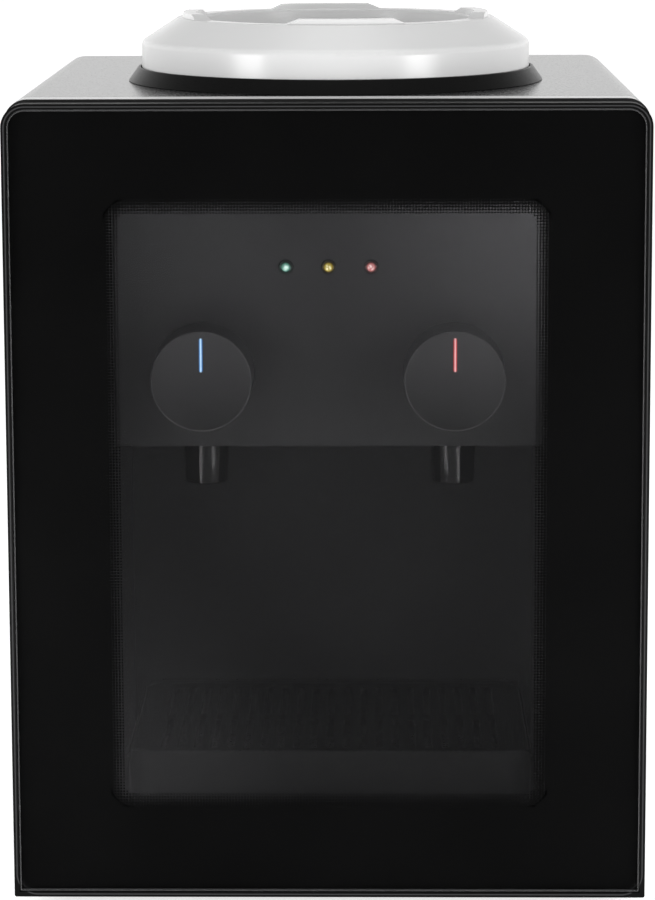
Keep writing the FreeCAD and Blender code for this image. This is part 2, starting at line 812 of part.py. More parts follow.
def cold_insulation():
    centre = tank_axis
    outer = tank_radius + insulation
    inner = tank_radius + lift_gap
    profile = [(0, cold_floor), (outer, cold_floor), (outer, tank_top), (inner, tank_top),
               (inner, cold_floor + insulation_floor), (0, cold_floor + insulation_floor)]
    jacket = turned(profile, centre)
    b = block_size / 2 + 0.5
    jacket = jacket.cut(block(-b, b, bottle_y, bottle_y + 2 * outer, block_height - b, block_height + b))
    hole = nipple_radius + 0.4
    jacket = jacket.cut(rod(hole, V(-inner + 5, bottle_y, knob_height), V(-outer - 5, bottle_y, knob_height)))
    jacket = jacket.cut(rod(hole, V(feed_x(), feed_y(), cold_floor - 1), V(feed_x(), feed_y(), tank_floor + 1)))
    flat = fascia_depth + wall + board_gap + board_thickness + flat_gap
    jacket = jacket.cut(block(-outer, outer, bottle_y - 2 * outer, front(flat), cold_floor - 1, tank_top + 1))
    for s in (-1, 1):
        tap = V(s * tap_x, front(fascia_depth), knob_height)
        jacket = jacket.cut(rod(valve_radius + flat_gap, tap, tap + V(0, wall + valve_length + flat_gap, 0)))
    split = bottle_y - flat_gap / 2
    high = tank_top + 1
    before = jacket.common(block(-outer - 1, outer + 1, bottle_y - outer - 1, split, cold_floor - 1, high))
    behind = jacket.common(block(-outer - 1, outer + 1, split + flat_gap, bottle_y + outer + 1,
                                 cold_floor - 1, high))
    return [before, behind]


def cold_block():
    b = block_size / 2
    body = block(-b, b, bottle_y + tank_radius - 8.0, front(block_end), block_height - b, block_height + b)
    return body.cut(rod(tank_radius + 0.1, tank_axis + V(0, 0, tank_floor), tank_axis + V(0, 0, tank_top)))


def peltier_module():
    b = block_size / 2 - 0.5
    return block(-b, b, front(block_end), front(sink_front), block_height - b, block_height + b)


def heat_sink():
    s = sink_size / 2
    low, high = block_height - s, block_height + s
    sink = block(-s, s, front(sink_front), front(sink_front + sink_base), low, high)
    pitch = (sink_size - fin_thickness) / (fin_count - 1)
    for i in range(fin_count):
        x = -s + i * pitch
        sink = sink.fuse(block(x, x + fin_thickness, front(sink_front + sink_base - 1), front(sink_back),
                               low, high))
    return sink.removeSplitter()


def fan_frame():
    s = sink_size / 2
    end = fan_front + fan_depth
    frame = upright(-s, s, block_height - s, block_height + s, fan_front, end, 3.0, 3.0)
    axis = lambda d: V(0, front(d), block_height)
    frame = frame.cut(rod(fan_bore, axis(fan_front - 1), axis(end + 1)))
    hub = 3.0
    frame = frame.fuse(rod(fan_hub, axis(end - hub), axis(end)))
    for i in range(4):
        strut = block(fan_hub - 3, fan_bore + 1.5, front(end - hub), front(end), block_height - 2,
                      block_height + 2)
        strut.rotate(axis(end), V(0, 1, 0), 45 + 90 * i)
        frame = frame.fuse(strut)
    frame = frame.fuse(rod(fan_shaft, axis(fan_front + 5.0), axis(end - 1))).removeSplitter()
    hole = s - 4.5
    for sx in (-1, 1):
        for sz in (-1, 1):
            p = V(sx * hole, front(fan_front - 1), block_height + sz * hole)
            frame = frame.cut(rod(2.1, p, p + V(0, fan_depth + 2, 0)))
    return frame


def fan_rotor():
    start, end = fan_front + 3.0, fan_front + fan_depth - 4.0
    axis = lambda d: V(0, front(d), block_height)
    rotor = rod(fan_hub, axis(start), axis(end))
    reach = fan_bore - 1.5
    chord = end - start - 2
    for i in range(fan_blades):
        blade = block(fan_hub - 1.5, reach, front(start + 1), front(start + 1 + chord),
                      block_height - 0.8, block_height + 0.8)
        middle = V(fan_hub, front(start + 1 + chord / 2), block_height)
        blade.rotate(middle, V(1, 0, 0), 38)
        blade.rotate(axis(start), V(0, 1, 0), 360.0 * i / fan_blades)
        rotor = rotor.fuse(blade)
    rotor = rotor.removeSplitter()
    return rotor.cut(rod(fan_shaft + running_gap, axis(start - 1), axis(end + 1)))


# ---- hot side ----

def hot_tank():
    w, r = hot_wall, hot_radius
    profile = [(0, hot_floor), (r, hot_floor), (r, hot_top), (0, hot_top), (0, hot_top - w),
               (r - w, hot_top - w), (r - w, hot_floor + w), (0, hot_floor + w)]
    tank = turned(profile, V(hot_x, hot_y, 0))
    for start, end in hot_nipples():
        tank = tank.fuse(rod(nipple_radius, start, end))
    tank = tank.removeSplitter()
    for start, end in hot_nipples():
        back = (start - end).normalize() * w
        tank = tank.cut(rod(nipple_bore, start + back, end))
    return tank


def hot_nipples():
    w = hot_wall / 2
    side_z = hot_floor + 26.0
    return [(V(hot_x + 20.0, hot_y, hot_top - w), V(hot_x + 20.0, hot_y, hot_top + 18.0)),
            (V(hot_x - hot_radius + w, hot_y, side_z), V(hot_x - hot_radius - 27.0, hot_y, side_z)),
            (V(hot_x, hot_y, hot_floor + w), V(hot_x, hot_y, hot_floor - 14.0))]


def band_heater():
    low = hot_floor + 44.0
    start, end = V(hot_x, hot_y, low), V(hot_x, hot_y, low + band_height)
    band = tube(hot_radius + band_thickness, hot_radius + lift_gap, start, end)
    gap = 4.0
    return band.cut(block(hot_x - gap / 2, hot_x + gap / 2, hot_y, hot_y + 2 * hot_radius, low - 1,
                          low + band_height + 1))


def hot_insulation():
    inner = hot_radius + band_thickness + 2 * lift_gap
    outer = inner + 8.0
    low, high = hot_floor + lift_gap, hot_top - 4.0
    jacket = tube(outer, inner, V(hot_x, hot_y, low), V(hot_x, hot_y, high))
    start, end = hot_nipples()[1]
    jacket = jacket.cut(rod(nipple_radius + 0.4, start, end))
    split = hot_y - flat_gap / 2
    before = jacket.common(block(hot_x - outer, hot_x + outer, hot_y - outer, split, low, high))
    behind = jacket.common(block(hot_x - outer, hot_x + outer, split + flat_gap, hot_y + outer, low, high))
    return [before, behind]


def thermostats():
    discs = []
    for dx, dy in ((-20.0, 0.0), (0.0, -24.0)):
        p = V(hot_x + dx, hot_y + dy, hot_top)
        disc = rod(9.0, p, p + V(0, 0, 6.0))
        tab = block(p.x - 3.0, p.x + 3.0, p.y - 0.4, p.y + 0.4, hot_top + 5.0, hot_top + 13.0)
        discs.append(disc.fuse(tab).removeSplitter())
    return discs


def tank_bracket():
    t = bracket_thickness
    reach = hot_radius + 6.0
    plate = block(hot_x - reach, hot_x + reach, hot_y - 20.0, hot_y + 20.0, hot_floor - t, hot_floor)
    plate = plate.cut(rod(nipple_radius + 3.0, V(hot_x, hot_y, hot_floor - 2 * t), V(hot_x, hot_y, hot_floor)))
    for s in (-1, 1):
        x = hot_x + s * (reach - t / 2)
        plate = plate.fuse(block(x - t / 2, x + t / 2, hot_y - 20.0, hot_y + 20.0, base + wall, hot_floor - t / 2))
        foot_end = hot_x + s * (reach + 12.0)
        plate = plate.fuse(block(min(x, foot_end), max(x, foot_end), hot_y - 20.0, hot_y + 20.0,
                                 base + wall, base + wall + t))
    return plate.removeSplitter()


# ---- hoses ----

def hose_routes():
    z = knob_height
    y = front(nozzle_depth)
    start = tap_x + valve_radius + 2.0
    tank_side = tank_radius + insulation + 2.0
    feed = hot_nipples()[1]
    outlet = hot_nipples()[0][0]
    drain = hot_nipples()[2]
    cold = [V(-start, y, z), V(-hose_side, y, z), V(-hose_side, bottle_y, z), V(-tank_side, bottle_y, z)]
    hot = [V(start, y, z), V(hose_side, y, z), V(hose_side, hot_y, z), V(outlet.x, hot_y, z),
           V(outlet.x, hot_y, hot_top + 4.0)]
    feed = [V(feed_x(), feed_y(), cold_floor - 2.0), V(feed_x(), feed_y(), feed[0].z),
            V(feed_x(), hot_y, feed[0].z), V(hot_x - hot_radius - 14.0, hot_y, feed[0].z)]
    drain = [V(hot_x, hot_y, hot_floor - 6.0), V(hot_x, hot_y, drain_height),
             V(hot_x, front(back_inner - 5.0), drain_height)]
    return {"hose_cold": (cold, hose_bend), "hose_hot": (hot, hose_bend), "hose_feed": (feed, 10.0),
            "hose_drain": (drain, 8.0)}


def hose_clamps():
    rings = []
    inset = 2.0
    for points, bend in hose_routes().values():
        for end, inward in ((points[0], points[1]), (points[-1], points[-2])):
            heading = (inward - end).normalize()
            start = end + heading * inset
            rings.append(tube(hose_radius + clamp_thickness, hose_radius + 0.1, start,
                              start + heading * clamp_width))
    return rings


def drain_spout():
    inner, outer = back_inner - 16.0, back_face + 6.0
    pipe = tube(spout_radius, nipple_radius + 1.0, V(hot_x, front(back_inner - 3.0), drain_height),
                V(hot_x, front(outer), drain_height))
    tail = tube(nipple_radius, nipple_bore, V(hot_x, front(inner), drain_height),
                V(hot_x, front(back_inner - 1.0), drain_height))
    web = tube(spout_radius, nipple_bore, V(hot_x, front(back_inner - 3.0), drain_height),
               V(hot_x, front(back_inner - 1.0), drain_height))
    flange = tube(spout_radius + 4.0, spout_radius - 1.0, V(hot_x, front(back_face), drain_height),
                  V(hot_x, front(back_face + 2.0), drain_height))
    return pipe.fuse(tail).fuse(web).fuse(flange).removeSplitter()


def drain_cap():
    start = back_face + 2.0 + lift_gap
    cap = rod(cap_radius, V(hot_x, front(start), drain_height), V(hot_x, front(start + cap_length), drain_height))
    room = rod(spout_radius + lift_gap, V(hot_x, front(start - 1), drain_height),
               V(hot_x, front(back_face + 6.0 + lift_gap), drain_height))
    cap = cap.cut(room)
    grips = 12
    for i in range(grips):
        a = 2 * math.pi * i / grips
        r = cap_radius + 0.6
        p = V(hot_x + r * math.cos(a), front(start - 1), drain_height + r * math.sin(a))
        cap = cap.cut(rod(1.2, p, p + V(0, cap_length + 2, 0)))
    return cap


# ---- electrics ----

def board_height():
    return base + board_post_gap


def board_area():
    return -half + 14.0, -half + 94.0, bay_depth + 12.0, back_inner - 12.0


def board_posts():
    x0, x1, d0, d1 = board_area()
    return [(x, d) for x in (x0 + 5.0, x1 - 5.0) for d in (d0 + 5.0, d1 - 5.0)]


def power_board():
    x0, x1, d0, d1 = board_area()
    z = board_height()
    board = slab(x0, x1, d0, d1, z, z + board_thickness, 2.0)
    z += board_thickness
    y0 = front(d0)
    transformer = block(x0 + 12, x0 + 47, y0 + 14, y0 + 46, z, z + 28)
    relay = block(x0 + 54, x0 + 69, y0 + 14, y0 + 33, z, z + 15)
    coil = rod(9.0, V(x0 + 62, y0 + 52, z), V(x0 + 62, y0 + 52, z + 10))
    big = rod(7.0, V(x0 + 22, y0 + 64, z), V(x0 + 22, y0 + 64, z + 26))
    small = rod(4.0, V(x0 + 42, y0 + 62, z), V(x0 + 42, y0 + 62, z + 14))
    return [board, transformer, relay, coil, big, small]


def fitting(x, z, size, d0, d1, radius=0.0):
    """Rectangular part of a fitting on the back panel; size holds its half width and half height."""
    return upright(x - size.x, x + size.x, z - size.z, z + size.z, d0, d1, radius, radius)


def power_inlet():
    x, z = inlet_x, inlet_height
    end = back_face + inlet_flange.y
    flange = fitting(x, z, inlet_flange, back_face, end, 3.0)
    barrel = fitting(x, z, inlet_barrel, back_face - inlet_barrel.y, back_face + 1)
    cavity = upright(x - inlet_room.x, x + inlet_room.x, z - inlet_room.z, z + inlet_room.z,
                     end - inlet_room.y, end + 1, 3.5)
    socket = flange.fuse(barrel).removeSplitter().cut(cavity)
    for dx, dz in ((-7.0, -1.5), (7.0, -1.5), (0.0, 2.5)):
        pin = block(x + dx - 1, x + dx + 1, front(end - inlet_room.y - 1), front(back_face - 4.0),
                    z + dz - 2, z + dz + 2)
        socket = socket.fuse(pin)
    return socket.removeSplitter()


def switch_places():
    return [switch_x, switch_x + switch_pitch]


def switch_body(x):
    z = top - switch_drop
    flange = fitting(x, z, switch_flange, back_face, back_face + switch_flange.y, 1.0)
    barrel = fitting(x, z, switch_barrel, back_face - switch_barrel.y, back_face + 1)
    cavity = fitting(x, z, switch_room, back_face - switch_room.y, back_face + switch_flange.y + 1)
    body = flange.fuse(barrel).removeSplitter().cut(cavity)
    return body.cut(rocker_pin(x, running_gap))


def rocker_pin(x, gap=0.0):
    y, z = front(back_face - 1.0), top - switch_drop
    reach = rocker_pin_half + gap
    return rod(rocker_pin_radius + gap, V(x - reach, y, z), V(x + reach, y, z))


def rocker(x):
    y, z = front(back_face - 1.0), top - switch_drop
    profile = [(-3.0, -5.5), (3.2, -7.0), (2.2, 0.0), (3.2, 7.0), (-3.0, 5.5)]
    points = [V(x - rocker_width / 2, y + a, z + b) for a, b in profile]
    cap = Part.Face(path(points, 0.0)).extrude(V(rocker_width, 0, 0)).fuse(rocker_pin(x)).removeSplitter()
    cap.rotate(V(x, y, z), V(1, 0, 0), rocker_tilt)
    return cap


def build():
    save("housing_shell", housing_shell())
    save("front_bezel", front_bezel())
    save("base_tray", base_tray())
    save("feet", *feet())
    save("back_panel", back_panel())
    save("case_screws", *case_screws())
    save("door_frame", door_frame())
    save("door_glass", door_glass())
    save("door_magnet", magnet())
    save("door_striker", door_striker())
    save("hinge_brackets", *[hinge_bracket(z) for z in hinge_heights()])
    save("hinge_pins", *[hinge_pin(z) for z in hinge_heights()])
    save("control_fascia", control_fascia())
    save("cup_bay_liner", cup_bay_liner())
    save("drip_tray", drip_tray())
    save("drip_grille", drip_grille())
    for name, x in (("cold", -tap_x), ("hot", tap_x)):
        save("knob_" + name, knob(x))
        save("pointer_" + name, pointer(x))
        save("spindle_" + name, spindle(x))
        save("valve_body_" + name, valve_body(x))
        save("nozzle_" + name, nozzle(x))
    save("tap_nuts", tap_nut(-tap_x), tap_nut(tap_x))
    for name, x in zip(("green", "yellow", "red"), lamp_places()):
        save("lamp_" + name, lamp(x))
    save("lamp_holders", *[lamp_holder(x) for x in lamp_places()])
    save("lamp_board", lamp_board())
    save("top_ring", top_ring())
    save("seat_gasket", seat_gasket())
    save("bottle_seat", bottle_seat())
    save("bottle_probe", bottle_probe())
    save("cold_tank", cold_tank())
    save("cold_insulation", *cold_insulation())
    save("cold_block", cold_block())
    save("peltier_module", peltier_module())
    save("heat_sink", heat_sink())
    save("fan_frame", fan_frame())
    save("fan_rotor", fan_rotor())
    save("hot_tank", hot_tank())
    save("band_heater", band_heater())
    save("hot_insulation", *hot_insulation())
    save("thermostats", *thermostats())
    save("tank_bracket", tank_bracket())
    for name, (points, bend) in hose_routes().items():
        save(name, hose(points, bend))
    save("hose_clamps", *hose_clamps())
    save("drain_spout", drain_spout())
    save("drain_cap", drain_cap())
    save("power_board", *power_board())
    save("power_inlet", power_inlet())
    save("switch_bodies", *[switch_body(x) for x in switch_places()])
    save("rocker_heat", rocker(switch_places()[0]))
    save("rocker_cool", rocker(switch_places()[1]))


os.makedirs("parts", exist_ok=True)
build()
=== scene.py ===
import bpy
import bmesh
import json
import math
from mathutils import Matrix, Vector


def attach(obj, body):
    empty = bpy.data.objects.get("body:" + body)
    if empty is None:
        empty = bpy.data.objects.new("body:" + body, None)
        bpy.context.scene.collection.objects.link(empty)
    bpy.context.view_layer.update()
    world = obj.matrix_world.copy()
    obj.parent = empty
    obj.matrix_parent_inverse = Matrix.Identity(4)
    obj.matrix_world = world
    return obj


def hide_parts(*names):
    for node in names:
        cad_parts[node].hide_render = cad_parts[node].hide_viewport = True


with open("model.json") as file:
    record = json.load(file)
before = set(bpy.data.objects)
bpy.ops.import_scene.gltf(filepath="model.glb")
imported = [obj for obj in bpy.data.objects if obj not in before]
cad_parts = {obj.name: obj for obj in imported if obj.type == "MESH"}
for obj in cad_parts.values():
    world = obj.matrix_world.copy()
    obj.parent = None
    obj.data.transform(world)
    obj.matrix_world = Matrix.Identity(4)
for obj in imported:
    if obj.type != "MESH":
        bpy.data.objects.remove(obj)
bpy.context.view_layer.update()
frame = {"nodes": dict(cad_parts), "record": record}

nodes = frame["nodes"]
scene = bpy.context.scene
mm = 0.001

cameraSetup = {
    "place": (0.02269, -1.551, 0.50586),
    "pitch": 0.145,
    "yaw": -0.016,
    "roll": -0.0037,
    "lens": 122.4,
    "shiftY": -0.18,
    "sensor": 36.0,
    "farthest": 50.0,
}


def makeCamera(setup):
    pitch, yaw, roll = setup["pitch"], setup["yaw"], setup["roll"]
    ahead = Vector((math.sin(yaw) * math.cos(pitch), math.cos(yaw) * math.cos(pitch), -math.sin(pitch)))
    level = Vector((math.cos(yaw), -math.sin(yaw), 0.0))
    upright = level.cross(ahead)
    right = level * math.cos(roll) + upright * math.sin(roll)
    up = upright * math.cos(roll) - level * math.sin(roll)
    data = bpy.data.cameras.new("camera")
    data.sensor_width = setup["sensor"]
    data.lens = setup["lens"]
    data.shift_y = setup["shiftY"]
    data.clip_end = setup["farthest"]
    camera = bpy.data.objects.new("camera", data)
    turn = Matrix((right, up, -ahead)).transposed()
    camera.matrix_world = Matrix.Translation(setup["place"]) @ turn.to_4x4()
    scene.collection.objects.link(camera)
    scene.camera = camera


makeCamera(cameraSetup)
scene.view_settings.view_transform = "Standard"
print("camera ready")


class Wire:  # a socket that can stand in a sum
    def __init__(self, tree, socket):
        self.tree = tree
        self.socket = socket

    def __add__(self, other):
        return self.tree.join("ADD", self, other)

    def __sub__(self, other):
        return self.tree.join("SUBTRACT", self, other)

    def __rsub__(self, other):
        return self.tree.join("SUBTRACT", other, self)

    def __mul__(self, other):
        return self.tree.join("MULTIPLY", self, other)


class Shading:  # the nodes of a finish or of the sky
    def __init__(self, tree):
        self.tree = tree

    def feed(self, socket, value):
        if isinstance(value, Wire):
            self.tree.links.new(value.socket, socket)
        elif socket.type == "RGBA" and len(value) == 3:
            socket.default_value = (*value, 1.0)
        else:
            socket.default_value = value

    def add(self, kind, settings=None, inputs=None, output=0):
        made = self.tree.nodes.new("ShaderNode" + kind)
        for key, value in (settings or {}).items():
            setattr(made, key, value)
        for key, value in (inputs or {}).items():
            self.feed(made.inputs[key], value)
        return Wire(self, made.outputs[output])

    def join(self, operation, a, b):
        return self.add("Math", {"operation": operation}, {0: a, 1: b})

    def absolute(self, value):
        return self.add("Math", {"operation": "ABSOLUTE"}, {0: value})

    def part(self, vector, axis):
        return self.add("SeparateXYZ", {}, {0: vector}, axis)

    def ramp(self, value, low, high, start=0.0, end=1.0, shape="LINEAR"):
        inputs = {0: value, 1: low, 2: high, 3: start, 4: end}
        return self.add("MapRange", {"interpolation_type": shape}, inputs)


socketNames = {
    "colour": "Base Color", "metal": "Metallic", "rough": "Roughness", "ior": "IOR",
    "specular": "Specular IOR Level", "coat": "Coat Weight", "coatRough": "Coat Roughness",
    "glow": "Emission Color", "glowPower": "Emission Strength",
    "flesh": "Subsurface Weight", "fleshScale": "Subsurface Scale",
}
even = (1.0, 1.0, 1.0)         # no stretch
grainSpan = (0.3, 0.7)         # where most of a noise's values lie


class Finish(Shading):  # one material and the nodes behind it
    def __init__(self, name, **fixed):
        self.material = bpy.data.materials.new(name)
        self.material.use_nodes = True
        super().__init__(self.material.node_tree)
        self.tree.nodes.clear()
        self.shader = self.tree.nodes.new("ShaderNodeBsdfPrincipled")
        self.output = self.tree.nodes.new("ShaderNodeOutputMaterial")
        self.tree.links.new(self.shader.outputs[0], self.output.inputs["Surface"])
        self.places = None
        self.set(**fixed)

    def set(self, **values):
        for key, value in values.items():
            self.feed(self.shader.inputs[socketNames[key]], value)

    def place(self, stretch=even):  # position on the piece, in metres
        if self.places is None:
            self.places = self.add("TexCoord", output="Object")
        if stretch == even:
            return self.places
        return self.add("VectorMath", {"operation": "MULTIPLY"}, {0: self.places, 1: stretch})

    def facing(self, axis):  # how far the surface looks along one axis
        return self.part(self.add("TexCoord", output="Normal"), axis)

    def noise(self, size, detail, stretch=even):
        inputs = {"Vector": self.place(stretch), "Scale": 1.0 / size, "Detail": detail}
        return self.add("TexNoise", {}, inputs)

    def cells(self, size, feature="F1", output=0):
        inputs = {"Vector": self.place(), "Scale": 1.0 / size}
        return self.add("TexVoronoi", {"feature": feature}, inputs, output)

    def mix(self, share, first, second):
        return self.add("Mix", {"data_type": "RGBA"}, {0: share, 6: first, 7: second}, 2)

    def bump(self, height, depth):  # depth in metres for a height of 1
        relief = self.add("Bump", {}, {"Height": height, "Distance": depth, "Strength": 1.0})
        self.feed(self.shader.inputs["Normal"], relief)

    def clear(self, share, tint):  # see-through, apart from this share
        through = self.add("BsdfTransparent", {}, {"Color": tint})
        blend = self.add("MixShader", {}, {0: share, 1: through})
        self.tree.links.new(self.shader.outputs[0], blend.socket.node.inputs[2])
        self.tree.links.new(blend.socket, self.output.inputs["Surface"])


# A plain finish drifts between two tones, has a grain in its roughness, and a relief with a depth in metres.
# Each noise is its size in metres, its detail and its stretch. The grain is the relief where none is named.
plainFinishes = {
    "satin_black": {
        "fixed": {"specular": 0.22},
        "drift": (0.05, 2.0), "tones": ((0.012, 0.012, 0.0125), (0.017, 0.017, 0.0175)),
        "grain": (0.0006, 4.0), "rough": (0.42, 0.52), "depth": 0.00003,
    },
    "shell_black": {  # a soft sheen with no clear reflections
        "fixed": {"specular": 0.5, "coat": 0.3, "coatRough": 0.14},
        "drift": (0.06, 3.0), "tones": ((0.010, 0.010, 0.0105), (0.015, 0.015, 0.0155)),
        "grain": (0.0012, 3.0), "rough": (0.24, 0.3), "depth": 0.000004,
    },
    "nozzle_black": {
        "fixed": {"specular": 0.14},
        "drift": (0.01, 2.0), "tones": ((0.002, 0.002, 0.002), (0.004, 0.004, 0.004)),
        "grain": (0.01, 2.0), "rough": (0.05, 0.08), "relief": (0.004, 1.0), "depth": 0.000003,
    },
    "ring_black": {
        "fixed": {"specular": 0.1},
        "drift": (0.004, 4.0, (1.0, 1.0, 20.0)), "tones": ((0.003, 0.003, 0.003), (0.006, 0.006, 0.006)),
        "grain": (0.004, 4.0, (1.0, 1.0, 20.0)), "rough": (0.26, 0.38), "depth": 0.00001,
    },
    "bay_black": {  # dull, so that the bay stays dark behind the glass
        "fixed": {"specular": 0.12},
        "drift": (0.05, 2.0), "tones": ((0.008, 0.008, 0.0083), (0.012, 0.012, 0.0123)),
        "grain": (0.0008, 3.0), "rough": (0.5, 0.62), "depth": 0.00002,
    },
    "tray_black": {  # dull sides, and a coat on the lip
        "fixed": {"specular": 0.06, "coatRough": 0.12}, "lip": (0.1, 0.6, 0.0, 0.7),
        "drift": (0.03, 2.0), "tones": ((0.0035, 0.0035, 0.0035), (0.005, 0.005, 0.005)),
        "grain": (0.0012, 3.0), "rough": (0.4, 0.5), "depth": 0.000005,
    },
    "grille_black": {
        "fixed": {"specular": 0.03},
        "drift": (0.03, 2.0), "tones": ((0.0022, 0.0022, 0.0022), (0.0034, 0.0034, 0.0034)),
        "grain": (0.0008, 3.0), "rough": (0.6, 0.75), "depth": 0.00002,
    },
    "white_plastic": {
        "fixed": {"specular": 0.45},
        "drift": (0.05, 2.0), "tones": ((0.70, 0.70, 0.70), (0.735, 0.735, 0.735)),
        "grain": (0.01, 3.0), "rough": (0.2, 0.27), "relief": (0.015, 1.0), "depth": 0.00002,
    },
    "natural_plastic": {
        "fixed": {"specular": 0.4, "flesh": 0.1, "fleshScale": 0.003},
        "drift": (0.01, 3.0), "tones": ((0.56, 0.545, 0.50), (0.66, 0.645, 0.60)),
        "grain": (0.003, 2.0), "rough": (0.35, 0.5), "relief": (0.0006, 2.0), "depth": 0.00002,
    },
    "black_rubber": {
        "fixed": {"specular": 0.25},
        "drift": (0.006, 2.0), "tones": ((0.014, 0.014, 0.014), (0.030, 0.029, 0.028)),
        "grain": (0.0008, 5.0), "rough": (0.7, 0.9), "depth": 0.00008,
    },
    "silicone": {
        "fixed": {"specular": 0.5, "flesh": 0.35, "fleshScale": 0.003},
        "drift": (0.008, 2.0), "tones": ((0.62, 0.64, 0.63), (0.74, 0.76, 0.75)),
        "grain": (0.002, 2.0), "rough": (0.28, 0.42), "relief": (0.0012, 2.0), "depth": 0.00003,
    },
    "magnet_black": {
        "fixed": {"specular": 0.5},
        "drift": (0.003, 2.0), "tones": ((0.02, 0.02, 0.021), (0.045, 0.044, 0.043)),
        "grain": (0.0007, 4.0), "rough": (0.35, 0.6), "depth": 0.00005,
    },
    "ceramic": {
        "fixed": {"specular": 0.5},
        "drift": (0.004, 4.0), "tones": ((0.74, 0.74, 0.72), (0.84, 0.84, 0.82)),
        "grain": (0.001, 3.0), "rough": (0.4, 0.6), "relief": (0.0005, 4.0), "depth": 0.00002,
    },
    "print_ink": {
        "fixed": {"specular": 0.01},
        "drift": (0.03, 3.0), "tones": ((0.0015, 0.0015, 0.0015), (0.0021, 0.0021, 0.0021)),
        "grain": (0.004, 3.0), "rough": (0.35, 0.5), "relief": (0.002, 2.0), "depth": 0.00001,
    },
}


def plainFinish(name):
    s = plainFinishes[name]
    f = Finish(name, **s["fixed"])
    grain = f.noise(*s["grain"])
    relief = f.noise(*s["relief"]) if "relief" in s else grain
    f.set(colour=f.mix(f.noise(*s["drift"]), *s["tones"]), rough=f.ramp(grain, *grainSpan, *s["rough"]))
    if "lip" in s:
        f.set(coat=f.ramp(f.facing("Z"), *s["lip"]))
    f.bump(relief, s["depth"])
    return f.material


glossSetup = {
    "haze": (0.06, 3.0), "tones": ((0.0035, 0.0035, 0.0037), (0.0055, 0.0055, 0.0058)), "rough": (0.07, 0.12),
    "speck": (0.0011, 2.0), "speckSpan": (0.66, 0.74), "speckRough": 0.1,
    "wave": (0.012, 1.0), "depth": 0.00002,
}


def glossBlack(name, s):
    f = Finish(name, specular=0.5, coat=0.25, coatRough=0.03)
    haze = f.noise(*s["haze"])
    specks = f.ramp(f.noise(*s["speck"]), *s["speckSpan"])
    f.set(colour=f.mix(haze, *s["tones"]))
    f.set(rough=f.ramp(haze, *grainSpan, *s["rough"]) + specks * s["speckRough"])
    f.bump(f.noise(*s["wave"]), s["depth"])
    return f.material


# fade, low and high paint the face paler towards the top as painted shade, and rim is the colour of a painted
# highlight on the chamfer
knobSetup = {
    "fade": (0.228, 0.276), "low": (0.002, 0.002, 0.002), "high": (0.036, 0.036, 0.037),
    "rimHighlightInner": (0.96, 0.85), "rimHighlightOuter": (0.35, 0.6), "rim": (0.075, 0.075, 0.076),
    "grain": (0.0007, 3.0), "rough": (0.32, 0.4), "depth": 0.00001,
}


def knobBlackPaintedLight(name, s):  # painted light: the face is painted paler towards the top, as if lit from above, and the rim takes a painted highlight
    f = Finish(name, specular=0.2, coat=0.04, coatRough=0.2)
    height = f.part(f.add("NewGeometry"), "Z")
    facing = f.absolute(f.facing("Y"))
    # the chamfer, picked by how far it faces the front, takes a painted highlight
    rim = f.ramp(facing, *s["rimHighlightInner"]) * f.ramp(facing, *s["rimHighlightOuter"])
    face = f.mix(f.ramp(height, *s["fade"]), s["low"], s["high"])
    grain = f.noise(*s["grain"])
    f.set(colour=f.mix(rim, face, s["rim"]), rough=f.ramp(grain, *grainSpan, *s["rough"]))
    f.bump(grain, s["depth"])
    return f.material


bezelSetup = {
    # top is how far a face must look up to take the painted sheen, and the second tone is the pale grey of
    # the painted sheen
    "top": (0.80, 0.97), "tones": ((0.008, 0.008, 0.008), (0.80, 0.80, 0.805)),
    "grain": (0.0012, 3.0), "rough": (0.28, 0.36), "wave": (0.002, 2.0), "depth": 0.000005,
}


def bezelBlackPaintedSheen(name, s):  # the faces of the moulding that look up are painted pale grey, a painted sheen
    f = Finish(name, specular=0.3)
    f.set(colour=f.mix(f.ramp(f.facing("Z"), *s["top"]), *s["tones"]))
    f.set(rough=f.ramp(f.noise(*s["grain"]), *grainSpan, *s["rough"]))
    f.bump(f.noise(*s["wave"]), s["depth"])
    return f.material


frameSetup = {
    "halfWidth": 0.150, "halfHeight": 0.18935, "middle": 0.19755, "corner": 0.011,
    "highlightInset": 0.00135,            # from the edge to the middle of the painted highlight line
    # the width and core of the painted highlight line, then the dark and pale tones
    "highlightWidth": 0.00038, "highlightCore": 0.4, "tones": ((0.001, 0.001, 0.001), (0.032, 0.032, 0.033)),
    "grain": (0.002, 3.0), "rough": (0.35, 0.45), "wave": (0.001, 2.0), "depth": 0.00001,
}


def frameBlackPaintedHighlight(name, s):  # a moulded edge with one paler line around it, a painted highlight
    f = Finish(name, specular=0.06)
    corner = s["corner"]
    across = f.absolute(f.part(f.place(), "X")) - (s["halfWidth"] - corner)
    along = f.absolute(f.part(f.place(), "Z") - s["middle"]) - (s["halfHeight"] - corner)
    sideways, upward = (f.join("MAXIMUM", v, 0.0) for v in (across, along))
    reach = f.join("SQRT", sideways * sideways + upward * upward, 0.0)
    inside = f.join("MINIMUM", f.join("MAXIMUM", across, along), 0.0)
    offHighlight = f.absolute(reach + inside - corner + s["highlightInset"])
    f.set(colour=f.mix(f.ramp(offHighlight, s["highlightWidth"], s["highlightWidth"] * s["highlightCore"]), *s["tones"]))
    f.set(rough=f.ramp(f.noise(*s["grain"]), *grainSpan, *s["rough"]))
    f.bump(f.noise(*s["wave"]), s["depth"])
    return f.material


texturedSetup = {
    "pit": 0.0009, "pitSpan": (0.0, 0.8), "pitShare": 0.7, "grain": (0.0004, 3.0), "grainShare": 0.3,
    "drift": (0.04, 2.0), "tones": ((0.017, 0.017, 0.018), (0.024, 0.024, 0.025)), "rough": (0.5, 0.66),
    "depth": 0.00012,
}


